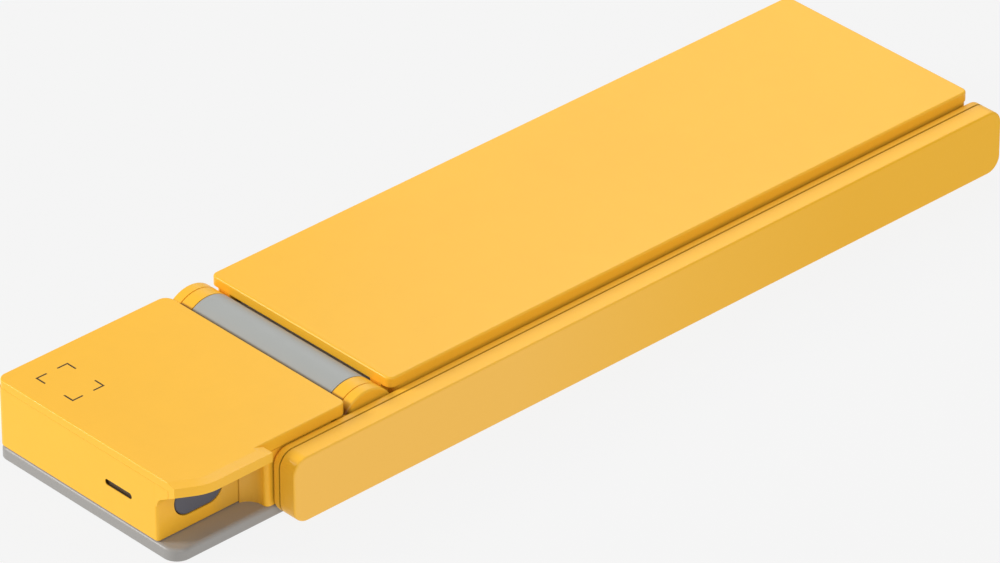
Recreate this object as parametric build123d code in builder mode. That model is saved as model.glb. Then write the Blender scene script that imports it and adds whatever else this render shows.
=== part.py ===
from build123d import *
import os
from math import sqrt

# ---------------------------------------------------------------------------
# Folding document camera, shown folded flat: a base plate, a side bar (lower
# arm), a wide upper arm and a camera head.  Millimetres.  +X runs from the
# head to the elbow, +Y from the side bar to the far side, +Z up.  The origin
# is at the centre of the overall outline, on the surface it stands on.
# Sketch positions are measured from a datum corner: x from the front of the
# base, y from just inside the side bar's outer face, z from 0.58 mm above
# the ground.
# ---------------------------------------------------------------------------

# overall outline
LENGTH = 255.5
WIDTH = 68.88            # far side, from the datum
HEIGHT = 20.6            # top of head and upper arm, from the datum
BAR_Y0 = -0.45           # outer face of the side bar
ZO = 0.58
XO = -LENGTH / 2
YO = -(WIDTH + BAR_Y0) / 2

# base
BASE_END = 251.9          # far end of the base plate
BASE_FLOOR = -0.48          # underside of the plate, above the foot pad
BASE_TOP = 2.76
BASE_R, BASE_R2 = 4.0, 2.7   # near front corner, other corners
EDGE_Y = 7.2              # near edge shared by base and panel
LID_Y = 7.0               # near edge of the lid
POCKET_IN = 4.0           # rim around the ballast pocket
BALLAST_T = 1.65
FOOT_T = 0.6

# side bar (lower arm)
BAR_X0, BAR_X1 = 28.9, 255.5
BAR_Z0, BAR_Z1 = 0.58, 17.58
BAR_R = 4.0
BAR_SEAM = 4.7            # parting line between the two covers
BAR_IN = 6.9              # inner face
GROOVE_W, GROOVE_D = 0.2, 0.9   # half width and depth of the parting groove
SPINE_Y0, SPINE_T = 2.6, 1.5
BAR_SCREWS = [(64.0, 9.2), (116.0, 9.2), (168.0, 9.2), (220.0, 9.2)]

# shafts
SHAFT_R = 2.45
BORE_R = 2.5
BUSH_R = 3.5
SHOULDER = (35.5, 9.9)    # x, z
ELBOW = (243.0, 9.9)
NECK = (57.9, 12.25)
KNUCKLE_R = 8.35
SCOOP_R = 8.85

# shoulder bracket
BR_Y0, BR_Y1 = 7.3, 13.25
BR_X0, BR_X1 = 27.3, 47.0
BR_TOP = 17.2
BR_SCREWS = [(30.2, 10.2), (44.0, 10.2)]

# upper arm
ARM_X0, ARM_X1 = 64.7, 251.9
PANEL_Z0 = 17.95
PANEL_R = 1.8
SHELL_X0 = 66.9
SHELL_X1 = 251.6
SHELL_Y0, SHELL_Y1 = 7.3, 68.7
SHELL_Z0 = 3.15
SHELL_R = ELBOW[1] - SHELL_Z0
WALL = 1.6
ARM_SCREWS = [(78.0, 16.0), (78.0, 60.0), (158.0, 14.0), (158.0, 63.5),
              (229.0, 27.0), (229.0, 62.0)]
USB_X, USB_Z = 212.0, 10.8

# camera head
HEAD_X0, HEAD_X1 = 0.2, 51.4
HEAD_Z0 = 3.06
LID_SEAM = 18.55
HEAD_SIDE = 13.4          # recessed near side of the housing
HEAD_R = 2.2              # upright corners of the housing
LID_R = 2.6
WING_Y = 3.45
WING_X1 = 26.0
WING_Z0 = 17.6
FLARE_X1 = 23.5           # end of the flared underside
FLARE_Y = 9.4             # joint between lid and housing under the wing
TRIM_R = 10.4             # swing clearance of the near hinge ear
LENS = (26.0, 41.0)
HEAD_SCREWS = [(6.5, 19.8), (6.5, 62.5), (42.5, 19.8), (42.5, 62.5)]
BUTTON = (12.5, 10.5)
BUTTON_L, BUTTON_H = 14.0, 8.0
SLOT = (26.6, 10.75)      # y, z of the status light slot
SLOT_L, SLOT_H = 9.2, 1.6


def level(z):
    """Horizontal sketch plane at height z, measured from the near corner."""
    return Plane(origin=(XO, YO, ZO + z), x_dir=(1, 0, 0), z_dir=(0, 0, 1))


def side(y):
    """Upright sketch plane along the length; a negative extrude goes to +Y."""
    return Plane(origin=(XO, YO + y, ZO), x_dir=(1, 0, 0), z_dir=(0, -1, 0))


def front(x):
    """Upright sketch plane across the width; a positive extrude goes to +X."""
    return Plane(origin=(XO + x, YO, ZO), x_dir=(0, 1, 0), z_dir=(1, 0, 0))


os.makedirs("parts", exist_ok=True)


def save(piece, name):
    piece.part.label = name
    export_step(piece.part, "parts/" + name + ".step")


BASE_CX = BASE_END / 2
BASE_CY = (EDGE_Y + WIDTH) / 2
BASE_W = WIDTH - EDGE_Y

# --------------------------------------------------------------------- base
with BuildPart() as base_plate:
    with BuildSketch(level(BASE_FLOOR)) as bs:
        with Locations((BASE_CX, BASE_CY)):
            Rectangle(BASE_END, BASE_W)
        fillet(bs.vertices().sort_by_distance((0, EDGE_Y))[0], BASE_R)
        fillet(bs.vertices().sort_by_distance((0, WIDTH))[0], BASE_R2)
        fillet(bs.vertices().sort_by_distance((BASE_END, WIDTH))[0], BASE_R2)
        fillet(bs.vertices().sort_by_distance((BASE_END, EDGE_Y))[0], BASE_R2)
    extrude(amount=BASE_TOP - BASE_FLOOR)
    fillet(base_plate.edges().group_by(Axis.Z)[-1], 1.0)
    fillet(base_plate.edges().group_by(Axis.Z)[0], 0.4)
    # pocket for the ballast, closed by the foot pad
    with BuildSketch(level(BASE_FLOOR)):
        with Locations((BASE_CX, BASE_CY)):
            RectangleRounded(BASE_END - 2 * POCKET_IN, BASE_W - 2 * POCKET_IN, 2.5)
        # land that carries the shoulder bracket
        with Locations((37.0, 11.0)):
            Rectangle(24.0, 8.0, mode=Mode.SUBTRACT)
    extrude(amount=2.2, mode=Mode.SUBTRACT)
    # countersunk holes for the bracket screws
    with BuildSketch(level(BASE_FLOOR)):
        with Locations(*BR_SCREWS):
            Circle(2.1)
    extrude(amount=1.2, mode=Mode.SUBTRACT)
    with BuildSketch(level(BASE_FLOOR)):
        with Locations(*BR_SCREWS):
            Circle(1.05)
    extrude(amount=5.0, mode=Mode.SUBTRACT)
save(base_plate, "base_plate")

with BuildPart() as base_ballast_plate:
    with BuildSketch(level(FOOT_T - ZO)):
        with Locations((BASE_CX, BASE_CY)):
            RectangleRounded(BASE_END - 2 * POCKET_IN - 0.4, BASE_W - 2 * POCKET_IN - 0.4, 2.3)
        with Locations((37.0, 11.0)):
            Rectangle(24.6, 8.6, mode=Mode.SUBTRACT)
    extrude(amount=BALLAST_T)
save(base_ballast_plate, "base_ballast_plate")

with BuildPart() as base_foot_pad:
    with BuildSketch(level(-ZO)):
        with Locations((BASE_CX, BASE_CY)):
            RectangleRounded(BASE_END - 2 * POCKET_IN - 0.4, BASE_W - 2 * POCKET_IN - 0.4, 2.3)
        with Locations((37.0, 11.0)):
            Rectangle(24.6, 8.6, mode=Mode.SUBTRACT)
    extrude(amount=FOOT_T - 0.02)
    # shallow grip grooves across the underside
    with BuildSketch(level(-ZO)):
        with Locations(*[(60.0 + 10.0 * i, BASE_CY) for i in range(18)]):
            Rectangle(1.2, BASE_W - 2 * POCKET_IN - 6.0)
    extrude(amount=0.25, mode=Mode.SUBTRACT)
save(base_foot_pad, "base_foot_pad")

# bracket that carries the side bar; its front face runs in a hollow curve to
# the side of the head
ARC_R = 4.3
ARC_C = (BR_X0 - ARC_R, BR_Y1 - ARC_R)
TIP_X = 24.2
TIP_Y = ARC_C[1] + sqrt(ARC_R**2 - (TIP_X - ARC_C[0])**2)
with BuildPart() as shoulder_bracket:
    with BuildSketch(level(BASE_TOP)):
        with BuildLine():
            Line((TIP_X, BR_Y1), (BR_X1, BR_Y1))
            Line((BR_X1, BR_Y1), (BR_X1, BR_Y0))
            Line((BR_X1, BR_Y0), (BR_X0 + 1.2, BR_Y0))
            ThreePointArc((BR_X0 + 1.2, BR_Y0), (BR_X0 + 0.3515, BR_Y0 + 0.3515), (BR_X0, BR_Y0 + 1.2))
            Line((BR_X0, BR_Y0 + 1.2), (BR_X0, ARC_C[1]))
            ThreePointArc((BR_X0, ARC_C[1]),
                          (ARC_C[0] + ARC_R * 0.80902, ARC_C[1] + ARC_R * 0.58779),
                          (TIP_X, TIP_Y))
            Line((TIP_X, TIP_Y), (TIP_X, BR_Y1))
        make_face()
    extrude(amount=BR_TOP - BASE_TOP)
    with BuildSketch(side(BR_Y0)):
        with Locations(SHOULDER):
            Circle(BUSH_R)
    extrude(amount=-(11.0 - BR_Y0), mode=Mode.SUBTRACT)
    with BuildSketch(side(11.0)):
        with Locations(SHOULDER):
            Circle(4.3)
    extrude(amount=-(BR_Y1 - 11.0), mode=Mode.SUBTRACT)
    with BuildSketch(level(BASE_TOP)):
        with Locations(*BR_SCREWS):
            Circle(1.0)
    extrude(amount=4.2, mode=Mode.SUBTRACT)
save(shoulder_bracket, "shoulder_bracket")

with BuildPart() as bracket_screws:
    with BuildSketch(level(BASE_FLOOR + 0.05)):
        with Locations(*BR_SCREWS):
            Circle(1.95)
            Circle(0.6, mode=Mode.SUBTRACT)
    extrude(amount=0.7)
    with BuildSketch(level(BASE_FLOOR + 0.75)):
        with Locations(*BR_SCREWS):
            Circle(1.95)
    extrude(amount=0.4)
    with BuildSketch(level(BASE_FLOOR + 1.15)):
        with Locations(*BR_SCREWS):
            Circle(0.97)
    extrude(amount=6.0)
save(bracket_screws, "bracket_screws")

with BuildPart() as shoulder_bush:
    with BuildSketch(side(BR_Y0)):
        with Locations(SHOULDER):
            Circle(BUSH_R)
            Circle(BORE_R, mode=Mode.SUBTRACT)
    extrude(amount=-(11.0 - BR_Y0))
save(shoulder_bush, "shoulder_bush")

# ---------------------------------------------------------- lower arm (bar)
BAR_C = ((BAR_X0 + BAR_X1) / 2, (BAR_Z0 + BAR_Z1) / 2)
BAR_L = BAR_X1 - BAR_X0
BAR_H = BAR_Z1 - BAR_Z0

with BuildPart() as lower_arm_outer_cover:
    with BuildSketch(side(BAR_Y0)):
        with Locations(BAR_C):
            RectangleRounded(BAR_L, BAR_H, BAR_R)
    extrude(amount=-(BAR_SEAM - GROOVE_W - BAR_Y0))
    fillet(lower_arm_outer_cover.edges().group_by(Axis.Y)[0], 0.55)
    # stepped rim that forms half of the parting groove
    with BuildSketch(side(BAR_SEAM - GROOVE_W)):
        with Locations(BAR_C):
            RectangleRounded(BAR_L - 2 * GROOVE_D, BAR_H - 2 * GROOVE_D, BAR_R - GROOVE_D)
    extrude(amount=-GROOVE_W)
    with BuildSketch(side(1.5)):
        with Locations(BAR_C):
            RectangleRounded(BAR_L - 3.0, BAR_H - 3.0, BAR_R - 1.5)
        with Locations(*BAR_SCREWS):
            Circle(2.0, mode=Mode.SUBTRACT)
    extrude(amount=-(BAR_SEAM - 1.5), mode=Mode.SUBTRACT)
    with BuildSketch(side(2.0)):
        with Locations(*BAR_SCREWS):
            Circle(0.8)
    extrude(amount=-(BAR_SEAM - 2.0), mode=Mode.SUBTRACT)
save(lower_arm_outer_cover, "lower_arm_outer_cover")

with BuildPart() as lower_arm_inner_cover:
    with BuildSketch(side(BAR_SEAM + GROOVE_W)):
        with Locations(BAR_C):
            RectangleRounded(BAR_L, BAR_H, BAR_R)
    extrude(amount=-(BAR_IN - BAR_SEAM - GROOVE_W))
    fillet(lower_arm_inner_cover.edges().group_by(Axis.Y)[-1], 0.7)
    with BuildSketch(side(BAR_SEAM)):
        with Locations(BAR_C):
            RectangleRounded(BAR_L - 2 * GROOVE_D, BAR_H - 2 * GROOVE_D, BAR_R - GROOVE_D)
    extrude(amount=-GROOVE_W)
    with BuildSketch(side(BAR_SEAM)):
        with Locations(BAR_C):
            RectangleRounded(BAR_L - 3.0, BAR_H - 3.0, BAR_R - 1.5)
        with Locations(*BAR_SCREWS):
            Circle(2.3, mode=Mode.SUBTRACT)
        with Locations(SHOULDER, ELBOW):
            Circle(5.2, mode=Mode.SUBTRACT)
    extrude(amount=-1.2, mode=Mode.SUBTRACT)
    with BuildSketch(side(BAR_SEAM)):
        with Locations(*BAR_SCREWS):
            Circle(0.85)
        with Locations(SHOULDER):
            Circle(BORE_R)
        with Locations(ELBOW):
            Circle(BUSH_R)
    extrude(amount=-(BAR_IN - BAR_SEAM), mode=Mode.SUBTRACT)
    with BuildSketch(side(5.8)):
        with Locations(*BAR_SCREWS):
            Circle(1.7)
    extrude(amount=-(BAR_IN - 5.8), mode=Mode.SUBTRACT)
save(lower_arm_inner_cover, "lower_arm_inner_cover")

with BuildPart() as lower_arm_spine:
    with BuildSketch(side(SPINE_Y0)):
        with Locations(((32.0 + 252.0) / 2, 9.4)):
            RectangleRounded(252.0 - 32.0, 10.6, 3.0)
        with Locations(SHOULDER, ELBOW):
            Circle(BORE_R, mode=Mode.SUBTRACT)
        with Locations(*BAR_SCREWS):
            Circle(2.3, mode=Mode.SUBTRACT)
        # lightening slots between the screws
        with Locations((90.0, 9.4), (142.0, 9.4), (194.0, 9.4)):
            SlotOverall(34.0, 4.6, mode=Mode.SUBTRACT)
    extrude(amount=-SPINE_T)
save(lower_arm_spine, "lower_arm_spine")

with BuildPart() as lower_arm_screws:
    with BuildSketch(side(5.82)):
        with Locations(*BAR_SCREWS):
            Circle(1.6)
    extrude(amount=-0.95)
    with BuildSketch(side(6.37)):
        with Locations(*BAR_SCREWS):
            Circle(0.55)
    extrude(amount=-0.4, mode=Mode.SUBTRACT)
    with BuildSketch(side(2.1)):
        with Locations(*BAR_SCREWS):
            Circle(0.78)
    extrude(amount=-(5.82 - 2.1))
save(lower_arm_screws, "lower_arm_screws")

with BuildPart() as shoulder_shaft:
    with BuildSketch(side(2.0)):
        with Locations(SHOULDER):
            RegularPolygon(4.4, 6)
    extrude(amount=-(SPINE_Y0 - 2.0))
    with BuildSketch(side(SPINE_Y0)):
        with Locations(SHOULDER):
            Circle(SHAFT_R)
    extrude(amount=-(12.95 - SPINE_Y0))
save(shoulder_shaft, "shoulder_shaft")

with BuildPart() as shoulder_washer:
    with BuildSketch(side(BAR_IN + 0.02)):
        with Locations(SHOULDER):
            Circle(5.4)
            Circle(BORE_R, mode=Mode.SUBTRACT)
    extrude(amount=-0.28)
save(shoulder_washer, "shoulder_washer")

with BuildPart() as shoulder_nut:
    with BuildSketch(side(11.15)):
        with Locations(SHOULDER):
            RegularPolygon(3.95, 6)
            Circle(SHAFT_R + 0.01, mode=Mode.SUBTRACT)
    extrude(amount=-1.7)
save(shoulder_nut, "shoulder_nut")

with BuildPart() as elbow_bush:
    with BuildSketch(side(4.15)):
        with Locations(ELBOW):
            Circle(BUSH_R)
            Circle(BORE_R, mode=Mode.SUBTRACT)
    extrude(amount=-(BAR_IN - 4.15))
save(elbow_bush, "elbow_bush")

# -------------------------------------------------------------- elbow shaft
with BuildPart() as elbow_shaft:
    with BuildSketch(side(1.95)):
        with Locations(ELBOW):
            Circle(4.2)
    extrude(amount=-0.55)
    with BuildSketch(side(2.5)):
        with Locations(ELBOW):
            Circle(SHAFT_R)
    extrude(amount=-(20.2 - 2.5))
save(elbow_shaft, "elbow_shaft")

with BuildPart() as elbow_spacer:
    with BuildSketch(side(BAR_IN + 0.03)):
        with Locations(ELBOW):
            Circle(5.4)
            Circle(SHAFT_R + 0.01, mode=Mode.SUBTRACT)
    extrude(amount=-0.34)
save(elbow_spacer, "elbow_spacer")

with BuildPart() as elbow_nut:
    with BuildSketch(side(18.1)):
        with Locations(ELBOW):
            RegularPolygon(4.2, 6)
            Circle(SHAFT_R + 0.01, mode=Mode.SUBTRACT)
    extrude(amount=-1.9)
save(elbow_nut, "elbow_nut")

# ---------------------------------------------------------------- upper arm
ARM_CX = (ARM_X0 + ARM_X1) / 2
ARM_CY = (EDGE_Y + WIDTH) / 2
with BuildPart() as upper_arm_top_panel:
    with BuildSketch(level(PANEL_Z0)):
        with Locations((ARM_CX, ARM_CY)):
            RectangleRounded(ARM_X1 - ARM_X0, WIDTH - EDGE_Y, PANEL_R)
    extrude(amount=HEIGHT - PANEL_Z0)
    fillet(upper_arm_top_panel.edges().group_by(Axis.Z)[-1], 0.55)
    fillet(upper_arm_top_panel.edges().group_by(Axis.Z)[0], 0.12)
    with BuildSketch(level(12.0)):
        with Locations(*ARM_SCREWS):
            Circle(2.5)
    extrude(amount=PANEL_Z0 - 12.0)
    with BuildSketch(level(12.0)):
        with Locations(*ARM_SCREWS):
            Circle(1.0)
    extrude(amount=6.6, mode=Mode.SUBTRACT)
save(upper_arm_top_panel, "upper_arm_top_panel")

SR = SHELL_R
IR = SR - WALL
S30, C30 = 0.5, sqrt(3) / 2
# hollow inside of the shell: floor, quarter curve under the elbow, end wall
with BuildPart() as shell_inside:
    with BuildSketch(side(SHELL_Y0 + WALL)):
        with BuildLine():
            Line((SHELL_X0 + WALL, SHELL_Z0 + WALL), (ELBOW[0], SHELL_Z0 + WALL))
            ThreePointArc((ELBOW[0], SHELL_Z0 + WALL),
                          (ELBOW[0] + IR * S30, ELBOW[1] - IR * C30),
                          (ELBOW[0] + IR * C30, ELBOW[1] - IR * S30))
            Line((ELBOW[0] + IR * C30, ELBOW[1] - IR * S30),
                 (SHELL_X1 - WALL, ELBOW[1] - IR * S30 + (SHELL_X1 - WALL - ELBOW[0] - IR * C30) * C30 / S30))
            Line((SHELL_X1 - WALL, ELBOW[1] - IR * S30 + (SHELL_X1 - WALL - ELBOW[0] - IR * C30) * C30 / S30),
                 (SHELL_X1 - WALL, PANEL_Z0 + 1.0))
            Line((SHELL_X1 - WALL, PANEL_Z0 + 1.0), (SHELL_X0 + WALL, PANEL_Z0 + 1.0))
            Line((SHELL_X0 + WALL, PANEL_Z0 + 1.0), (SHELL_X0 + WALL, SHELL_Z0 + WALL))
        make_face()
    extrude(amount=-(SHELL_Y1 - SHELL_Y0 - 2 * WALL))

with BuildPart() as upper_arm_shell:
    with BuildSketch(side(SHELL_Y0)):
        with BuildLine():
            Line((SHELL_X0, SHELL_Z0), (ELBOW[0], SHELL_Z0))
            ThreePointArc((ELBOW[0], SHELL_Z0),
                          (ELBOW[0] + SR * S30, ELBOW[1] - SR * C30),
                          (ELBOW[0] + SR * C30, ELBOW[1] - SR * S30))
            Line((ELBOW[0] + SR * C30, ELBOW[1] - SR * S30),
                 (SHELL_X1, ELBOW[1] - SR * S30 + (SHELL_X1 - ELBOW[0] - SR * C30) * C30 / S30))
            Line((SHELL_X1, ELBOW[1] - SR * S30 + (SHELL_X1 - ELBOW[0] - SR * C30) * C30 / S30),
                 (SHELL_X1, PANEL_Z0))
            Line((SHELL_X1, PANEL_Z0), (SHELL_X0, PANEL_Z0))
            Line((SHELL_X0, PANEL_Z0), (SHELL_X0, SHELL_Z0))
        make_face()
    extrude(amount=-(SHELL_Y1 - SHELL_Y0))
    fillet(upper_arm_shell.edges().filter_by(Axis.X).group_by(Axis.Z)[0], 1.8)
    # rounded upright corners
    with BuildSketch(level(SHELL_Z0 - 1.0)):
        with Locations(((SHELL_X0 + SHELL_X1) / 2, (SHELL_Y0 + SHELL_Y1) / 2)):
            RectangleRounded(SHELL_X1 - SHELL_X0, SHELL_Y1 - SHELL_Y0, PANEL_R)
    extrude(amount=PANEL_Z0 - SHELL_Z0 + 2.0, mode=Mode.INTERSECT)
    add(shell_inside.part, mode=Mode.SUBTRACT)
    # inner knuckles of the neck hinge, filled up to the panel
    with BuildSketch(side(10.3)):
        with Locations(NECK):
            Circle(KNUCKLE_R)
        with Locations(((ARM_X0 + 68.4) / 2, (4.6 + PANEL_Z0) / 2)):
            Rectangle(68.4 - ARM_X0, PANEL_Z0 - 4.6)
        with Locations(((NECK[0] + 66.0) / 2, 10.9)):
            Rectangle(66.0 - NECK[0], 11.6)
    extrude(amount=-3.55)
    with BuildSketch(side(62.15)):
        with Locations(NECK):
            Circle(KNUCKLE_R)
        with Locations(((ARM_X0 + 68.4) / 2, (4.6 + PANEL_Z0) / 2)):
            Rectangle(68.4 - ARM_X0, PANEL_Z0 - 4.6)
        with Locations(((NECK[0] + 66.0) / 2, 10.9)):
            Rectangle(66.0 - NECK[0], 11.6)
    extrude(amount=-3.55)
    with BuildSketch(side(10.2)):
        with Locations(NECK):
            Circle(BORE_R)
    extrude(amount=-3.75, mode=Mode.SUBTRACT)
    with BuildSketch(side(62.05)):
        with Locations(NECK):
            Circle(BORE_R)
    extrude(amount=-3.75, mode=Mode.SUBTRACT)
    # elbow shaft passes the near wall
    with BuildSketch(side(SHELL_Y0 - 0.5)):
        with Locations(ELBOW):
            Circle(BORE_R + 0.1)
    extrude(amount=-(WALL + 1.0), mode=Mode.SUBTRACT)
    # screw bosses and holes
    with BuildSketch(level(SHELL_Z0 + WALL)):
        with Locations(*ARM_SCREWS):
            Circle(2.8)
    extrude(amount=11.95 - SHELL_Z0 - WALL)
    with BuildSketch(level(SHELL_Z0)):
        with Locations(*ARM_SCREWS):
            Circle(1.0)
    extrude(amount=9.0, mode=Mode.SUBTRACT)
    with BuildSketch(level(SHELL_Z0)):
        with Locations(*ARM_SCREWS):
            Circle(2.0)
    extrude(amount=1.4, mode=Mode.SUBTRACT)
    # socket opening in the far wall
    with BuildSketch(side(SHELL_Y1 - WALL - 0.5)):
        with Locations((USB_X, USB_Z)):
            SlotOverall(9.3, 3.5)
    extrude(amount=-(WALL + 1.0), mode=Mode.SUBTRACT)
    # posts that hold the main board
    with BuildSketch(level(SHELL_Z0 + WALL)):
        with Locations((134.0, 24.0), (134.0, 58.0), (218.0, 24.0)):
            Circle(1.8)
    extrude(amount=7.95 - SHELL_Z0 - WALL)
save(upper_arm_shell, "upper_arm_shell")

with BuildPart() as upper_arm_screws:
    with BuildSketch(level(SHELL_Z0 + 0.15)):
        with Locations(*ARM_SCREWS):
            Circle(1.9)
            Circle(0.6, mode=Mode.SUBTRACT)
    extrude(amount=0.7)
    with BuildSketch(level(SHELL_Z0 + 0.85)):
        with Locations(*ARM_SCREWS):
            Circle(1.9)
    extrude(amount=0.5)
    with BuildSketch(level(SHELL_Z0 + 1.35)):
        with Locations(*ARM_SCREWS):
            Circle(0.97)
    extrude(amount=11.5)
save(upper_arm_screws, "upper_arm_screws")

with BuildPart() as elbow_hinge_block:
    BRR = IR - 0.05
    with BuildSketch(side(SHELL_Y0 + WALL + 0.02)):
        with BuildLine():
            Line((235.5, ELBOW[1] - BRR), (ELBOW[0], ELBOW[1] - BRR))
            ThreePointArc((ELBOW[0], ELBOW[1] - BRR),
                          (ELBOW[0] + BRR * 0.70711, ELBOW[1] - BRR * 0.70711),
                          (ELBOW[0] + BRR, ELBOW[1]))
            Line((ELBOW[0] + BRR, ELBOW[1]), (ELBOW[0] + BRR, 16.8))
            Line((ELBOW[0] + BRR, 16.8), (235.5, 16.8))
            Line((235.5, 16.8), (235.5, ELBOW[1] - BRR))
        make_face()
        with Locations(ELBOW):
            Circle(SHAFT_R + 0.01, mode=Mode.SUBTRACT)
    extrude(amount=-8.6)
save(elbow_hinge_block, "elbow_hinge_block")

with BuildPart() as hinge_barrel_cover:
    with BuildSketch(side(14.15)):
        with Locations(NECK):
            Circle(KNUCKLE_R)
        with Locations(((NECK[0] + 5.0 + 66.85) / 2, 11.5)):
            Rectangle(66.85 - NECK[0] - 5.0, 9.0)
        with Locations(NECK):
            Circle(5.5, mode=Mode.SUBTRACT)
    extrude(amount=-(61.85 - 14.15))
save(hinge_barrel_cover, "hinge_barrel_cover")

with BuildPart() as neck_friction_clip:
    with BuildSketch(side(32.0)):
        with Locations(NECK):
            Circle(4.2)
        with Locations((NECK[0], NECK[1] + 4.4)):
            Rectangle(3.0, 1.6)
        with Locations(NECK):
            Circle(BORE_R, mode=Mode.SUBTRACT)
        with Locations((NECK[0], NECK[1] - 3.4)):
            Rectangle(1.0, 2.4, mode=Mode.SUBTRACT)
    extrude(amount=-12.0)
save(neck_friction_clip, "neck_friction_clip")

with BuildPart() as main_board:
    with BuildSketch(level(8.0)):
        with Locations((176.0, 40.0)):
            RectangleRounded(92.0, 40.0, 1.5)
    extrude(amount=1.2)
    # controller, memory and a row of capacitors
    with BuildSketch(level(9.2)):
        with Locations((165.0, 41.0)):
            Rectangle(14.0, 14.0)
        with Locations((188.0, 38.0)):
            Rectangle(8.0, 11.0)
        with Locations(*[(142.0, 28.0 + 5.0 * i) for i in range(6)]):
            Rectangle(3.0, 1.8)
    extrude(amount=1.3)
save(main_board, "main_board")

with BuildPart() as usb_c_socket:
    with BuildSketch(side(61.3)):
        with Locations((USB_X, USB_Z)):
            SlotOverall(8.94, 3.16)
    extrude(amount=-6.6)
    with BuildSketch(side(62.3)):
        with Locations((USB_X, USB_Z)):
            SlotOverall(8.34, 2.56)
    extrude(amount=-5.7, mode=Mode.SUBTRACT)
    with BuildSketch(side(62.3)):
        with Locations((USB_X, USB_Z)):
            Rectangle(6.7, 0.7)
    extrude(amount=-4.4)
save(usb_c_socket, "usb_c_socket")

# --------------------------------------------------------------- camera head
# near ear of the neck hinge, with a soft outer edge
with BuildPart() as near_ear:
    with BuildSketch(side(7.25)):
        with Locations(NECK):
            Circle(KNUCKLE_R)
    extrude(amount=-2.75)
    fillet(near_ear.edges().group_by(Axis.Y)[0], 0.55)

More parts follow.
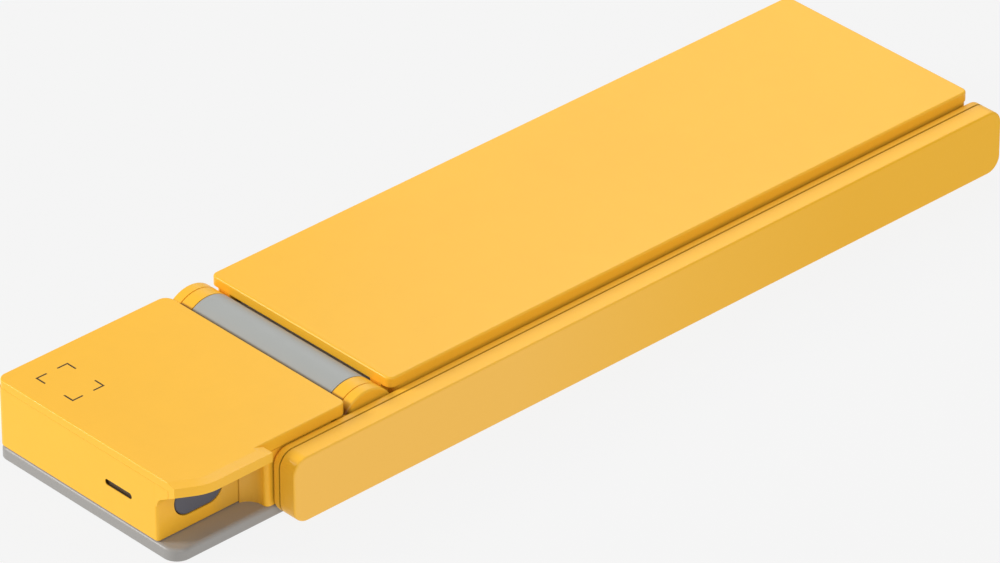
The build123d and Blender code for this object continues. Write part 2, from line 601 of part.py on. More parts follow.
with BuildPart() as head_housing:
    with BuildSketch(level(HEAD_Z0)) as hs:
        with BuildLine():
            Polyline((HEAD_X0, HEAD_SIDE), (48.2, HEAD_SIDE), (48.2, 7.5), (HEAD_X1, 7.5),
                     (HEAD_X1, WIDTH), (HEAD_X0, WIDTH), (HEAD_X0, HEAD_SIDE))
        make_face()
        fillet(hs.vertices().sort_by_distance((HEAD_X0, HEAD_SIDE))[0], 0.8)
        fillet(hs.vertices().sort_by_distance((HEAD_X0, WIDTH))[0], HEAD_R)
        fillet(hs.vertices().sort_by_distance((HEAD_X1, WIDTH))[0], HEAD_R)
        fillet(hs.vertices().sort_by_distance((HEAD_X1, 7.5))[0], 2.0)
    extrude(amount=17.45 - HEAD_Z0)
    # upper band of the walls, up to the lid
    with BuildSketch(level(17.45)) as hu:
        with BuildLine():
            Polyline((HEAD_X0, HEAD_SIDE), (HEAD_X1, HEAD_SIDE),
                     (HEAD_X1, WIDTH), (HEAD_X0, WIDTH), (HEAD_X0, HEAD_SIDE))
        make_face()
        fillet(hu.vertices().sort_by_distance((HEAD_X0, HEAD_SIDE))[0], 0.8)
        fillet(hu.vertices().sort_by_distance((HEAD_X0, WIDTH))[0], HEAD_R)
        fillet(hu.vertices().sort_by_distance((HEAD_X1, WIDTH))[0], HEAD_R)
    extrude(amount=LID_SEAM - 0.05 - 17.45)
    # flared underside of the wing, up to the lid
    with BuildSketch(front(HEAD_X0)):
        with BuildLine():
            Line((HEAD_SIDE + 0.6, 12.4), (HEAD_SIDE, 12.4))
            ThreePointArc((HEAD_SIDE, 12.4),
                          (HEAD_SIDE - 2.9 + 2.9 * C30, 12.4 + 2.9 * S30),
                          (HEAD_SIDE - 2.9 + 2.9 * S30, 12.4 + 2.9 * C30))
            Line((HEAD_SIDE - 2.9 + 2.9 * S30, 12.4 + 2.9 * C30),
                 (FLARE_Y, 12.4 + 2.9 * C30 + (HEAD_SIDE - 1.45 - FLARE_Y) * S30 / C30))
            Line((FLARE_Y, 12.4 + 2.9 * C30 + (HEAD_SIDE - 1.45 - FLARE_Y) * S30 / C30),
                 (FLARE_Y, LID_SEAM - 0.05))
            Line((FLARE_Y, LID_SEAM - 0.05), (HEAD_SIDE + 0.6, LID_SEAM - 0.05))
            Line((HEAD_SIDE + 0.6, LID_SEAM - 0.05), (HEAD_SIDE + 0.6, 12.4))
        make_face()
    extrude(amount=FLARE_X1 - HEAD_X0)
    # inside
    with BuildSketch(level(HEAD_Z0 + WALL)):
        with Locations(((1.8 + 47.2) / 2, (HEAD_SIDE + WALL + WIDTH - WALL) / 2)):
            RectangleRounded(47.2 - 1.8, WIDTH - HEAD_SIDE - 2 * WALL, 1.8)
    extrude(amount=LID_SEAM - HEAD_Z0, mode=Mode.SUBTRACT)
    # hollow behind, around the hinge barrel
    with BuildSketch(side(7.0)):
        with Locations(NECK):
            Circle(SCOOP_R)
    extrude(amount=-62.0, mode=Mode.SUBTRACT)
    # outer ears of the neck hinge
    add(near_ear.part)
    with BuildSketch(side(7.5)):
        with Locations(((48.4 + NECK[0]) / 2, 10.9)):
            Rectangle(NECK[0] - 48.4, 12.4)
    extrude(amount=-2.5)
    with BuildSketch(side(66.0)):
        with Locations(NECK):
            Circle(KNUCKLE_R)
        with Locations(((48.4 + NECK[0]) / 2, 10.9)):
            Rectangle(NECK[0] - 48.4, 12.4)
    extrude(amount=-2.45)
    # the near corner swings past the shoulder bracket
    with BuildSketch(side(7.0)):
        with Locations((50.0, 10.0)):
            Rectangle(12.0, 14.9)
        with Locations(NECK):
            Circle(TRIM_R, mode=Mode.SUBTRACT)
    extrude(amount=-(HEAD_SIDE - 0.02 - 7.0), mode=Mode.SUBTRACT)
    with BuildSketch(side(8.0)):
        with Locations(NECK):
            Circle(SHAFT_R + 0.01)
    extrude(amount=-60.0, mode=Mode.SUBTRACT)
    # button opening
    with BuildSketch(side(9.0)):
        with Locations(BUTTON):
            SlotOverall(BUTTON_L + 0.5, BUTTON_H + 0.5)
    extrude(amount=-(HEAD_SIDE + WALL + 0.5 - 9.0), mode=Mode.SUBTRACT)
    # status light slot
    with BuildSketch(front(0.0)):
        with Locations(SLOT):
            SlotOverall(SLOT_L, SLOT_H)
    extrude(amount=WALL + 1.0, mode=Mode.SUBTRACT)
    # lens opening
    with BuildSketch(level(HEAD_Z0 - 0.5)):
        with Locations(LENS):
            Circle(9.05)
    extrude(amount=WALL + 1.0, mode=Mode.SUBTRACT)
    # screw bosses
    with BuildSketch(level(HEAD_Z0 + WALL)):
        with Locations(*HEAD_SCREWS):
            Circle(2.4)
    extrude(amount=11.9 - HEAD_Z0 - WALL)
    with BuildSketch(level(HEAD_Z0)):
        with Locations(*HEAD_SCREWS):
            Circle(0.8)
    extrude(amount=9.0, mode=Mode.SUBTRACT)
    with BuildSketch(level(HEAD_Z0)):
        with Locations(*HEAD_SCREWS):
            Circle(1.7)
    extrude(amount=1.3, mode=Mode.SUBTRACT)
save(head_housing, "head_housing")

WING_CURVE_R = 12.0
WING_T = 10.0             # start of the straight near edge
with BuildPart() as head_top_cover:
    with BuildSketch(level(WING_Z0)) as lw:
        with BuildLine():
            Line((HEAD_X0, 7.23), (4.1, 5.02))
            ThreePointArc((4.1, 5.02), (6.93, 3.85), (WING_T, WING_Y))
            Line((WING_T, WING_Y), (WING_X1, WING_Y))
            Line((WING_X1, WING_Y), (WING_X1, LID_Y))
            Line((WING_X1, LID_Y), (HEAD_X1, LID_Y))
            Line((HEAD_X1, LID_Y), (HEAD_X1, WIDTH))
            Line((HEAD_X1, WIDTH), (HEAD_X0, WIDTH))
            Line((HEAD_X0, WIDTH), (HEAD_X0, 7.23))
        make_face()
        fillet(lw.vertices().sort_by_distance((HEAD_X0, WIDTH))[0], LID_R)
        fillet(lw.vertices().sort_by_distance((HEAD_X1, WIDTH))[0], LID_R)
        fillet(lw.vertices().sort_by_distance((HEAD_X1, LID_Y))[0], 1.8)
    extrude(amount=HEIGHT - WING_Z0)
    # broad, shallow bevel along the wing
    lid_top = head_top_cover.faces().sort_by(Axis.Z)[-1]
    wing_edges = [e for e in lid_top.edges() if e.center().Y < YO + EDGE_Y - 0.5]
    chamfer(wing_edges, 2.5, 0.55, reference=lid_top)
    fillet(head_top_cover.faces().sort_by(Axis.Z)[-1].edges(), 0.35)
    # the wing's underside slopes down to meet the flare of the housing
    with BuildSketch(front(HEAD_X0)):
        with BuildLine():
            Polyline((FLARE_Y - 0.1, 12.4 + 2.9 * C30 + (HEAD_SIDE - 1.35 - FLARE_Y) * S30 / C30),
                     (7.25, WING_Z0), (FLARE_Y - 0.1, WING_Z0),
                     (FLARE_Y - 0.1, 12.4 + 2.9 * C30 + (HEAD_SIDE - 1.35 - FLARE_Y) * S30 / C30))
        make_face()
    extrude(amount=FLARE_X1 - HEAD_X0)
    with BuildSketch(level(WING_Z0 - 2.0)):
        with Locations(((HEAD_X0 + FLARE_X1) / 2 - 0.5, (FLARE_Y - 0.1 + HEAD_SIDE) / 2)):
            Rectangle(FLARE_X1 - HEAD_X0 + 1.2, HEAD_SIDE - FLARE_Y + 0.1)
    extrude(amount=LID_SEAM - WING_Z0 + 2.0, mode=Mode.SUBTRACT)
    # the lid is thinner over the housing; its near strip hangs deeper
    with BuildSketch(level(WING_Z0 - 1.0)):
        with Locations((HEAD_X1 / 2, (HEAD_SIDE - 0.2 + WIDTH + 1.0) / 2)):
            Rectangle(HEAD_X1 + 2.0, WIDTH + 1.0 - HEAD_SIDE + 0.2)
    extrude(amount=LID_SEAM - WING_Z0 + 1.0, mode=Mode.SUBTRACT)
    with BuildSketch(level(12.0)):
        with Locations(*HEAD_SCREWS):
            Circle(2.2)
    extrude(amount=LID_SEAM - 12.0)
    with BuildSketch(level(12.0)):
        with Locations(*HEAD_SCREWS):
            Circle(0.8)
    extrude(amount=5.6, mode=Mode.SUBTRACT)
save(head_top_cover, "head_top_cover")

with BuildPart() as head_screws:
    with BuildSketch(level(HEAD_Z0 + 0.15)):
        with Locations(*HEAD_SCREWS):
            Circle(1.6)
            Circle(0.5, mode=Mode.SUBTRACT)
    extrude(amount=0.6)
    with BuildSketch(level(HEAD_Z0 + 0.75)):
        with Locations(*HEAD_SCREWS):
            Circle(1.6)
    extrude(amount=0.5)
    with BuildSketch(level(HEAD_Z0 + 1.25)):
        with Locations(*HEAD_SCREWS):
            Circle(0.78)
    extrude(amount=11.0)
save(head_screws, "head_screws")

with BuildPart() as neck_shaft:
    with BuildSketch(side(8.1)):
        with Locations(NECK):
            Circle(SHAFT_R)
    extrude(amount=-(67.85 - 8.1))
    chamfer(neck_shaft.edges().group_by(Axis.Y)[0] + neck_shaft.edges().group_by(Axis.Y)[-1], 0.3)
save(neck_shaft, "neck_shaft")

with BuildPart() as lens_bezel:
    with BuildSketch(level(HEAD_Z0 + 0.1)):
        with Locations(LENS):
            Circle(9.0)
            Circle(6.4, mode=Mode.SUBTRACT)
    extrude(amount=0.5)
    with BuildSketch(level(HEAD_Z0 + 0.6)):
        with Locations(LENS):
            Circle(9.0)
            Circle(7.3, mode=Mode.SUBTRACT)
    extrude(amount=1.0)
    with BuildSketch(level(HEAD_Z0 + WALL)):
        with Locations(LENS):
            Circle(10.2)
            Circle(7.3, mode=Mode.SUBTRACT)
    extrude(amount=0.7)
save(lens_bezel, "lens_bezel")

with BuildPart() as lens_glass:
    with BuildSketch(level(HEAD_Z0 + 0.62)):
        with Locations(LENS):
            Circle(7.2)
    extrude(amount=0.9)
save(lens_glass, "lens_glass")

with BuildPart() as lens_module:
    with BuildSketch(level(6.4)):
        with Locations(LENS):
            Circle(4.6)
    extrude(amount=1.4)
    with BuildSketch(level(7.8)):
        with Locations(LENS):
            Circle(6.4)
    extrude(amount=2.0)
    with BuildSketch(level(9.8)):
        with Locations(LENS):
            RectangleRounded(15.0, 15.0, 1.0)
    extrude(amount=3.15)
    with BuildSketch(level(6.4)):
        with Locations(LENS):
            Circle(3.2)
    extrude(amount=1.0, taper=30, mode=Mode.SUBTRACT)
save(lens_module, "lens_module")

with BuildPart() as image_sensor_board:
    with BuildSketch(level(13.0)):
        with Locations((26.0, 41.0)):
            RectangleRounded(34.0, 34.0, 1.5)
    extrude(amount=1.0)
    with BuildSketch(level(14.0)):
        with Locations((18.0, 34.0)):
            Rectangle(7.0, 5.0)
        with Locations((34.0, 48.0)):
            Rectangle(4.0, 9.0)
    extrude(amount=1.4)
save(image_sensor_board, "image_sensor_board")

with BuildPart() as status_light_pipe:
    with BuildSketch(front(0.75)):
        with Locations(SLOT):
            SlotOverall(SLOT_L - 0.1, SLOT_H - 0.1)
    extrude(amount=4.0)
save(status_light_pipe, "status_light_pipe")

with BuildPart() as button_switch:
    with BuildSketch(level(HEAD_Z0 + WALL)):
        with Locations((BUTTON[0], 19.4)):
            Rectangle(6.6, 4.2)
    extrude(amount=7.6)
    with BuildSketch(side(16.8)):
        with Locations(BUTTON):
            Circle(1.3)
    extrude(amount=-0.6)
save(button_switch, "button_switch")

with BuildPart() as side_button:
    with BuildSketch(side(13.25)):
        with Locations(BUTTON):
            SlotOverall(BUTTON_L, BUTTON_H)
    extrude(amount=-2.05)
    fillet(side_button.edges().group_by(Axis.Y)[0], 0.5)
    with BuildSketch(side(15.3)):
        with Locations(BUTTON):
            SlotOverall(BUTTON_L + 1.8, BUTTON_H + 1.6)
    extrude(amount=-0.7)
save(side_button, "side_button")
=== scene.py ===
import bpy, bmesh, math
from mathutils import Matrix, Vector


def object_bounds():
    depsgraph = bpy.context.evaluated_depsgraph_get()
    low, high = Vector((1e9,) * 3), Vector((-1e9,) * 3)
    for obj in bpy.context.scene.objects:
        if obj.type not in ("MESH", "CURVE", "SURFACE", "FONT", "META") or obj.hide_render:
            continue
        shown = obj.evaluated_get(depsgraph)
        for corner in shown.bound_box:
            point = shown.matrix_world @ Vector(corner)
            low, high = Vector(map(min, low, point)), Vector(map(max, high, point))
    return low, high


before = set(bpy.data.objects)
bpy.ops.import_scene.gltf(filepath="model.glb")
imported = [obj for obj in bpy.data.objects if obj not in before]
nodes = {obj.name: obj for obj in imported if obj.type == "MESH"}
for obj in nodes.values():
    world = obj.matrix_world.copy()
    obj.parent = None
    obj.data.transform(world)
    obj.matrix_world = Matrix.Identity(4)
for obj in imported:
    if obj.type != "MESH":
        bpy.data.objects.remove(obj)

_lo, _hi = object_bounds()
CAD_BOX = [[float(v) for v in _lo], [float(v) for v in _hi]]
scene = bpy.context.scene
scene.view_settings.view_transform = "Standard"
scene.view_settings.look = "None"
scene.view_settings.exposure = 0.0
scene.view_settings.gamma = 1.0

# ------------------------------------------------------------------ camera
NEAR = Vector((CAD_BOX[0][0], CAD_BOX[0][1] + 0.00045, 0.00058))     # datum corner of the outline
CAM_LOC = NEAR + Vector((-0.96826936, -1.14453196, 1.01916795))
FWD = Vector((0.57538465, 0.62105209, -0.53219057)).normalized()
RIGHT = Vector((0.73282820, -0.68041156, -0.00171541)).normalized()
UP = RIGHT.cross(FWD).normalized()
cam_data = bpy.data.cameras.new("camera")
cam_data.sensor_width = 36.0
cam_data.lens = 293.03996
cam_data.clip_start = 0.05
cam_data.clip_end = 50.0
cam = bpy.data.objects.new("camera", cam_data)
rot = Matrix((RIGHT, UP, -FWD)).transposed().to_4x4()
cam.matrix_world = Matrix.Translation(CAM_LOC) @ rot
scene.collection.objects.link(cam)
scene.camera = cam


def srgb(r, g, b):
    out = []
    for c in (r, g, b):
        c = c / 255.0
        out.append(c / 12.92 if c <= 0.04045 else ((c + 0.055) / 1.055) ** 2.4)
    return (out[0], out[1], out[2], 1.0)


# --------------------------------------------------------------- materials
def new_mat(name):
    m = bpy.data.materials.new(name)
    m.use_nodes = True
    nt = m.node_tree
    nt.nodes.clear()
    out = nt.nodes.new("ShaderNodeOutputMaterial")
    b = nt.nodes.new("ShaderNodeBsdfPrincipled")
    nt.links.new(b.outputs["BSDF"], out.inputs["Surface"])
    return m, nt, b


def node(nt, kind, **kw):
    n = nt.nodes.new(kind)
    for k, v in kw.items():
        setattr(n, k, v)
    return n


def noise(nt, vec, scale, detail=2.0, rough=0.5):
    n = node(nt, "ShaderNodeTexNoise")
    n.inputs["Scale"].default_value = scale
    n.inputs["Detail"].default_value = detail
    n.inputs["Roughness"].default_value = rough
    nt.links.new(vec, n.inputs["Vector"])
    return n.outputs["Fac"]


def ramp(nt, fac, stops):
    r = node(nt, "ShaderNodeValToRGB")
    els = r.color_ramp.elements
    while len(els) > 1:
        els.remove(els[-1])
    els[0].position, els[0].color = stops[0]
    for p, c in stops[1:]:
        e = els.new(p)
        e.color = c
    nt.links.new(fac, r.inputs["Fac"])
    return r.outputs["Color"]


def maprange(nt, fac, a, b):
    r = node(nt, "ShaderNodeMapRange")
    r.inputs["From Min"].default_value = 0.3
    r.inputs["From Max"].default_value = 0.7
    r.inputs["To Min"].default_value = a
    r.inputs["To Max"].default_value = b
    nt.links.new(fac, r.inputs["Value"])
    return r.outputs["Result"]


def shade(c, k):
    return (min(1, c[0] * k), min(1, c[1] * k), min(1, c[2] * k), 1.0)


def moulded(name, colour, rough=0.42, grain=5200.0, bump=0.05, spec=0.5, vary=0.03,
            coat=0.0, metallic=0.0, bumpdist=0.00002):
    """Injection-moulded satin plastic: slow colour drift, fine spark-eroded
    grain, roughness that follows the grain."""
    m, nt, b = new_mat(name)
    tc = node(nt, "ShaderNodeTexCoord")
    obj = tc.outputs["Object"]
    slow = noise(nt, obj, 14.0, 2.0, 0.5)
    mid = noise(nt, obj, 160.0, 3.0, 0.6)
    fine = noise(nt, obj, grain, 2.0, 0.55)
    drift = node(nt, "ShaderNodeMath", operation="MULTIPLY_ADD")
    nt.links.new(slow, drift.inputs[0])
    drift.inputs[1].default_value = 0.7
    half = node(nt, "ShaderNodeMath", operation="MULTIPLY")
    nt.links.new(mid, half.inputs[0])
    half.inputs[1].default_value = 0.3
    nt.links.new(half.outputs[0], drift.inputs[2])
    col = ramp(nt, drift.outputs[0], [(0.3, shade(colour, 1 - vary)), (0.7, shade(colour, 1 + vary))])
    nt.links.new(col, b.inputs["Base Color"])
    nt.links.new(maprange(nt, fine, rough - 0.03, rough + 0.05), b.inputs["Roughness"])
    bp = node(nt, "ShaderNodeBump")
    bp.inputs["Strength"].default_value = bump
    bp.inputs["Distance"].default_value = bumpdist
    nt.links.new(fine, bp.inputs["Height"])
    nt.links.new(bp.outputs["Normal"], b.inputs["Normal"])
    b.inputs["Specular IOR Level"].default_value = spec
    b.inputs["Metallic"].default_value = metallic
    if coat:
        b.inputs["Coat Weight"].default_value = coat
        b.inputs["Coat Roughness"].default_value = 0.16
    return m, nt, b, obj, col


def painted_shade_band(m, nt, b, obj, axis, at, half, dark, soft=0.00004, limit=None):
    """Painted shade: a darker or duller colour on the inside faces of a gap or recess, as a band on one object
    axis, with soft edges. limit = (axis, min, max), or several of them, keeps it to a range."""
    src = None
    for l in nt.links:
        if l.to_socket == b.inputs["Base Color"]:
            src = l.from_socket
    sep = node(nt, "ShaderNodeSeparateXYZ")
    nt.links.new(obj, sep.inputs[0])
    sub = node(nt, "ShaderNodeMath", operation="SUBTRACT")
    nt.links.new(sep.outputs[axis], sub.inputs[0])
    sub.inputs[1].default_value = at
    dist = node(nt, "ShaderNodeMath", operation="ABSOLUTE")
    nt.links.new(sub.outputs[0], dist.inputs[0])
    r = node(nt, "ShaderNodeMapRange")
    r.inputs["From Min"].default_value = half
    r.inputs["From Max"].default_value = half + soft
    r.inputs["To Min"].default_value = 1.0
    r.inputs["To Max"].default_value = 0.0
    nt.links.new(dist.outputs[0], r.inputs["Value"])
    fac = r.outputs["Result"]
    if limit and isinstance(limit[0], str):
        limit = (limit,)
    for lim in limit or ():
        for op, v in (("GREATER_THAN", lim[1]), ("LESS_THAN", lim[2])):
            g = node(nt, "ShaderNodeMath", operation=op)
            nt.links.new(sep.outputs[lim[0]], g.inputs[0])
            g.inputs[1].default_value = v
            mul = node(nt, "ShaderNodeMath", operation="MULTIPLY")
            nt.links.new(fac, mul.inputs[0])
            nt.links.new(g.outputs[0], mul.inputs[1])
            fac = mul.outputs[0]
    mix = node(nt, "ShaderNodeMix", data_type="RGBA")
    nt.links.new(fac, mix.inputs["Factor"])
    nt.links.new(src, mix.inputs[6])
    mix.inputs[7].default_value = dark
    nt.links.new(mix.outputs[2], b.inputs["Base Color"])


SEAM_Y = NEAR.y + 0.0046        # middle of the side arm's parting groove
# painted shade in and along the side arm's parting groove, on both arm covers
GROOVE_PAINTED_SHADE = srgb(122, 76, 0)

YELLOW = srgb(250, 189, 50)
M = {}
M["yellow"], *_ = moulded("yellow_satin_plastic", YELLOW, rough=0.42, spec=0.25, coat=0.13)
M["base_gray"], *_ = moulded("base_satin_plastic", srgb(154, 151, 147), rough=0.38, vary=0.025, spec=0.45)
M["button"], *_ = moulded("button_rubber", srgb(86, 88, 100), rough=0.5, vary=0.04, bump=0.12)
M["steel"], *_ = moulded("turned_steel", (0.60, 0.60, 0.61, 1), rough=0.3, metallic=1.0, grain=2500, vary=0.05)
M["zinc"], *_ = moulded("zinc_plated_steel", (0.48, 0.50, 0.52, 1), rough=0.42, metallic=1.0, grain=1200, vary=0.1)
M["aluminium"], *_ = moulded("stamped_aluminium", (0.74, 0.75, 0.77, 1), rough=0.35, metallic=1.0, grain=2200, vary=0.04)
M["brass"], *_ = moulded("turned_brass", (0.78, 0.58, 0.25, 1), rough=0.3, metallic=1.0, grain=2200, vary=0.06)
M["rubber"], *_ = moulded("foot_rubber", (0.045, 0.045, 0.048, 1), rough=0.75, grain=2600, bump=0.3, vary=0.12)
M["board"], *_ = moulded("board_solder_mask", (0.015, 0.13, 0.06, 1), rough=0.35, grain=900, vary=0.1)
M["black"], *_ = moulded("lens_black", (0.012, 0.012, 0.014, 1), rough=0.35, grain=3600, vary=0.1)
M["pipe"], *_ = moulded("smoked_light_pipe", srgb(62, 42, 12), rough=0.3, vary=0.1, bump=0.02)
M["switch"], *_ = moulded("switch_black", (0.02, 0.02, 0.02, 1), rough=0.5, vary=0.1)

# lens window: clear glass with a faint coating tint
gm, gnt, gb = new_mat("lens_window_glass")
tc = node(gnt, "ShaderNodeTexCoord")
gn = noise(gnt, tc.outputs["Object"], 40.0)
gc = ramp(gnt, gn, [(0.3, (0.10, 0.12, 0.16, 1)), (0.7, (0.13, 0.13, 0.20, 1))])
gnt.links.new(gc, gb.inputs["Base Color"])
gnt.links.new(maprange(gnt, gn, 0.03, 0.06), gb.inputs["Roughness"])
gb.inputs["IOR"].default_value = 1.5
gb.inputs["Alpha"].default_value = 0.55
gb.inputs["Coat Weight"].default_value = 0.6
gb.inputs["Coat Roughness"].default_value = 0.02
M["glass"] = gm

# lid: the same plastic with four thin printed framing corners
def lid_material():
    m, nt, b, obj, col = moulded("yellow_lid_plastic", YELLOW, rough=0.42, spec=0.25, coat=0.13)
    sep = node(nt, "ShaderNodeSeparateXYZ")
    nt.links.new(obj, sep.inputs[0])

    def math_(op, a, bb=None, clamp=False):
        n = node(nt, "ShaderNodeMath", operation=op)
        n.use_clamp = clamp
        for i, v in enumerate((a, bb)):
            if v is None:
                continue
            if isinstance(v, (int, float)):
                n.inputs[i].default_value = v
            else:
                nt.links.new(v, n.inputs[i])
        return n.outputs[0]

    cx, cy = NEAR.x + 0.01125, NEAR.y + 0.05585
    hx, hy = 0.00455, 0.0063
    arm, line = 0.0030, 0.00022
    ax = math_("ABSOLUTE", math_("SUBTRACT", sep.outputs["X"], cx))
    ay = math_("ABSOLUTE", math_("SUBTRACT", sep.outputs["Y"], cy))
    on_x = math_("LESS_THAN", math_("ABSOLUTE", math_("SUBTRACT", ax, hx)), line)
    on_y = math_("LESS_THAN", math_("ABSOLUTE", math_("SUBTRACT", ay, hy)), line)
    near_x = math_("MULTIPLY", math_("GREATER_THAN", ax, hx - arm), math_("LESS_THAN", ax, hx + line))
    near_y = math_("MULTIPLY", math_("GREATER_THAN", ay, hy - arm), math_("LESS_THAN", ay, hy + line))
    mask = math_("MAXIMUM", math_("MULTIPLY", on_x, near_y), math_("MULTIPLY", on_y, near_x))
    mask = math_("MULTIPLY", mask, math_("GREATER_THAN", sep.outputs["Z"], CAD_BOX[1][2] - 0.0001))
    mix = node(nt, "ShaderNodeMix", data_type="RGBA")
    nt.links.new(mask, mix.inputs["Factor"])
    nt.links.new(col, mix.inputs[6])
    mix.inputs[7].default_value = srgb(58, 38, 4)
    nt.links.new(mix.outputs[2], b.inputs["Base Color"])
    return m


M["lid"] = lid_material()

# outer cover of the side arm: painted sheen on its outer face, paler and whiter at the near end and more saturated
# towards the far end
def cover_material():
    m, nt, b, obj, col = moulded("yellow_cover_plastic", YELLOW, rough=0.42, spec=0.25, coat=0.13)
    sep = node(nt, "ShaderNodeSeparateXYZ")
    nt.links.new(obj, sep.inputs[0])
    along = node(nt, "ShaderNodeMapRange")
    along.inputs["From Min"].default_value = NEAR.x + 0.030
    along.inputs["From Max"].default_value = NEAR.x + 0.255
    nt.links.new(sep.outputs["X"], along.inputs["Value"])
    painted_sheen_tone = ramp(nt, along.outputs["Result"], [
        (0.0, srgb(252, 194, 80)), (0.30, srgb(252, 194, 78)), (0.55, srgb(250, 189, 50)),
        (0.78, srgb(247, 184, 24)), (1.0, srgb(248, 185, 14))])
    face = node(nt, "ShaderNodeMapRange")
    face.inputs["From Min"].default_value = NEAR.y - 0.00040
    face.inputs["From Max"].default_value = NEAR.y - 0.00010
    face.inputs["To Min"].default_value = 0.92
    face.inputs["To Max"].default_value = 0.0
    nt.links.new(sep.outputs["Y"], face.inputs["Value"])
    mix = node(nt, "ShaderNodeMix", data_type="RGBA")
    nt.links.new(face.outputs["Result"], mix.inputs["Factor"])
    nt.links.new(col, mix.inputs[6])
    nt.links.new(painted_sheen_tone, mix.inputs[7])
    nt.links.new(mix.outputs[2], b.inputs["Base Color"])
    # painted shade in and along the parting groove
    painted_shade_band(m, nt, b, obj, "Y", SEAM_Y, 0.00014, GROOVE_PAINTED_SHADE)
    return m


M["cover"] = cover_material()
_t = moulded("yellow_inner_cover_plastic", YELLOW, rough=0.42, spec=0.25, coat=0.13)
# painted shade in and along the parting groove
painted_shade_band(_t[0], _t[1], _t[2], _t[3], "Y", SEAM_Y, 0.00014, GROOVE_PAINTED_SHADE)
# painted shade: a dark line on the inner cover's inner edge, by the gap to the lid and panel, along its top and
# over its near end
for _lim in (("Z", NEAR.z + 0.0169, NEAR.z + 0.0300), ("X", NEAR.x, NEAR.x + 0.0297)):
    painted_shade_band(_t[0], _t[1], _t[2], _t[3], "Y", NEAR.y + 0.0069, 0.00022, srgb(84, 50, 4), limit=_lim)
M["inner_cover"] = _t[0]
# the bracket's deep face has a duller tone, which stands in for the shade inside the recess
_t = moulded("yellow_bracket_plastic", YELLOW, rough=0.42, spec=0.25, coat=0.13)
painted_shade_band(_t[0], _t[1], _t[2], _t[3], "Y", NEAR.y + 0.0128, 0.0024, srgb(226, 174, 64), soft=0.0018)
M["bracket"] = _t[0]

# hinge mouldings: painted shadow in the narrow valley behind the lid's rear edge
for _key, _col, _painted_shadow in (("housing", YELLOW, srgb(120, 72, 10)), ("shell", YELLOW, srgb(140, 96, 30)),
                          ("gray", srgb(166, 168, 165), srgb(120, 108, 82))):
    _t = moulded(_key + "_satin_plastic", _col, rough=0.42, spec=0.25 if _key != "gray" else 0.4,
                 vary=0.03 if _key != "gray" else 0.025, coat=0.13 if _key != "gray" else 0.0)
    painted_shade_band(_t[0], _t[1], _t[2], _t[3], "X", NEAR.x + (0.0514 if _key == "housing" else 0.0527),
         0.00035 if _key == "housing" else 0.00030, _painted_shadow, soft=0.00150 if _key == "housing" else 0.00045,
         limit=("Z", NEAR.z + 0.0170, NEAR.z + 0.0300))
    if _key == "housing":
        # the same painted shade as on the bracket, on the recessed side between the button and the bracket
        painted_shade_band(_t[0], _t[1], _t[2], _t[3], "X", NEAR.x + 0.0225, 0.0030, srgb(231, 180, 65), soft=0.0040,
             limit=(("Y", NEAR.y + 0.0125, NEAR.y + 0.0142), ("Z", NEAR.z + 0.0010, NEAR.z + 0.0150)))
        # painted shade: near-black on the faces set 0.4 to 2.3 mm into the front wall, in a window 9.75 to 11.75
        # mm up and 21.8 to 31.4 mm across
        painted_shade_band(_t[0], _t[1], _t[2], _t[3], "X", NEAR.x + 0.00135, 0.00095, srgb(58, 38, 8), soft=0.00004,
             limit=(("Z", NEAR.z + 0.00975, NEAR.z + 0.01175), ("Y", NEAR.y + 0.0218, NEAR.y + 0.0314)))
    M[_key] = _t[0]

ASSIGN = {
    "base_plate": "base_gray", "hinge_barrel_cover": "gray",
    "base_ballast_plate": "zinc", "base_foot_pad": "rubber",
    "bracket_screws": "steel", "lower_arm_screws": "steel", "upper_arm_screws": "steel",
    "head_screws": "steel", "shoulder_shaft": "steel", "shoulder_nut": "steel",
    "elbow_shaft": "steel", "elbow_nut": "steel", "neck_shaft": "steel",
    "neck_friction_clip": "steel", "usb_c_socket": "steel",
    "shoulder_bush": "brass", "shoulder_washer": "brass", "elbow_bush": "brass", "elbow_spacer": "brass",
    "lower_arm_spine": "aluminium", "elbow_hinge_block": "aluminium",
    "main_board": "board", "image_sensor_board": "board",
    "lens_bezel": "black", "lens_module": "black", "lens_glass": "glass",
    "status_light_pipe": "pipe", "button_switch": "switch", "side_button": "button",
    "head_top_cover": "lid", "lower_arm_outer_cover": "cover",
    "lower_arm_inner_cover": "inner_cover", "shoulder_bracket": "bracket", "head_housing": "housing", "upper_arm_shell": "shell",
}
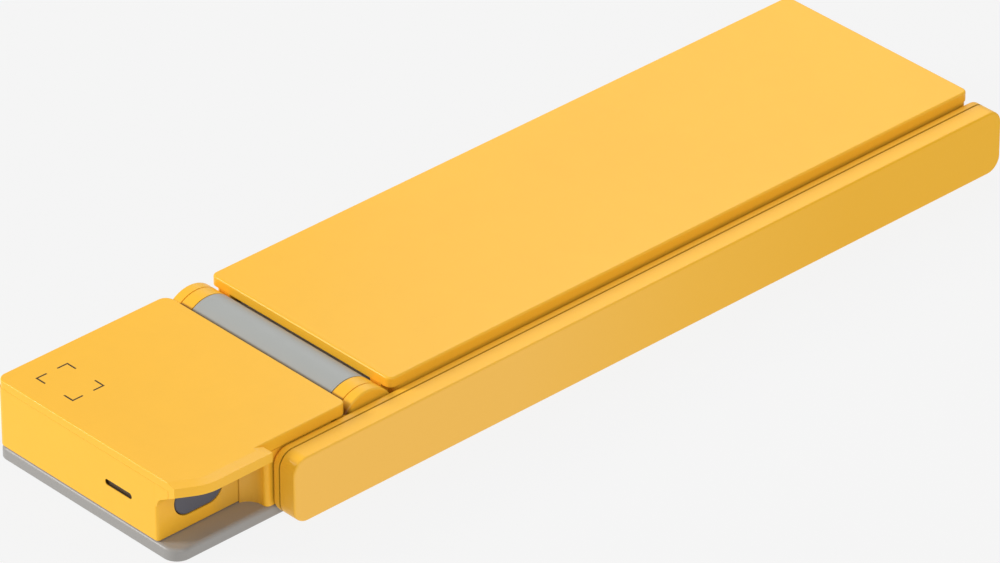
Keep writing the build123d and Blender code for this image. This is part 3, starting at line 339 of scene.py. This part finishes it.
for name, o in nodes.items():
    mat = M[ASSIGN.get(name, "yellow")]
    o.data.materials.clear()
    o.data.materials.append(mat)

# ------------------------------------------------------------------- stage
def floor_material():
    m, nt, b = new_mat("studio_floor")
    tc = node(nt, "ShaderNodeTexCoord")
    n = noise(nt, tc.outputs["Object"], 3.0, 2.0)
    c = ramp(nt, n, [(0.3, (0.905, 0.905, 0.905, 1)), (0.7, (0.913, 0.913, 0.913, 1))])
    # a lit light table: it glows evenly and takes almost no shadow
    b.inputs["Base Color"].default_value = (0.03, 0.03, 0.03, 1)
    nt.links.new(c, b.inputs["Emission Color"])
    b.inputs["Emission Strength"].default_value = 0.97
    b.inputs["Roughness"].default_value = 0.9
    b.inputs["Specular IOR Level"].default_value = 0.0
    return m


bm = bmesh.new()
bmesh.ops.create_grid(bm, x_segments=8, y_segments=8, size=6.0)
me = bpy.data.meshes.new("studio_floor")
bm.to_mesh(me)
bm.free()
floor = bpy.data.objects.new("studio_floor", me)
floor.data.materials.append(floor_material())
scene.collection.objects.link(floor)
floor.location = (0, 0, -0.0002)

world = bpy.data.worlds.new("studio")
scene.world = world
world.use_nodes = True
bg = world.node_tree.nodes["Background"]
bg.inputs["Color"].default_value = (1.0, 1.0, 1.0, 1)
bg.inputs["Strength"].default_value = 0.50


def area(name, loc, target, size, power, colour=(1, 1, 1)):
    d = bpy.data.lights.new(name, "AREA")
    d.shape = "RECTANGLE"
    d.size, d.size_y = size
    d.energy = power
    d.color = colour
    o = bpy.data.objects.new(name, d)
    o.location = loc
    o.rotation_euler = (Vector(target) - Vector(loc)).to_track_quat("-Z", "Y").to_euler()
    scene.collection.objects.link(o)
    return o


area("key_softbox", (-1.18, 1.05, 0.78), (0, 0, 0), (0.45, 0.45), 17.8)
area("side_softbox", (-0.28, -0.58, 0.42), (-0.06, -0.03, 0.01), (0.3, 0.3), 1.15)
area("far_softbox", (0.46, 0.36, 0.34), (0.12, 0.01, 0.02), (0.30, 0.30), 0.28)
area("top_softbox", (0.34, 0.22, 0.52), (0.12, 0.01, 0.02), (0.30, 0.30), 0.98)
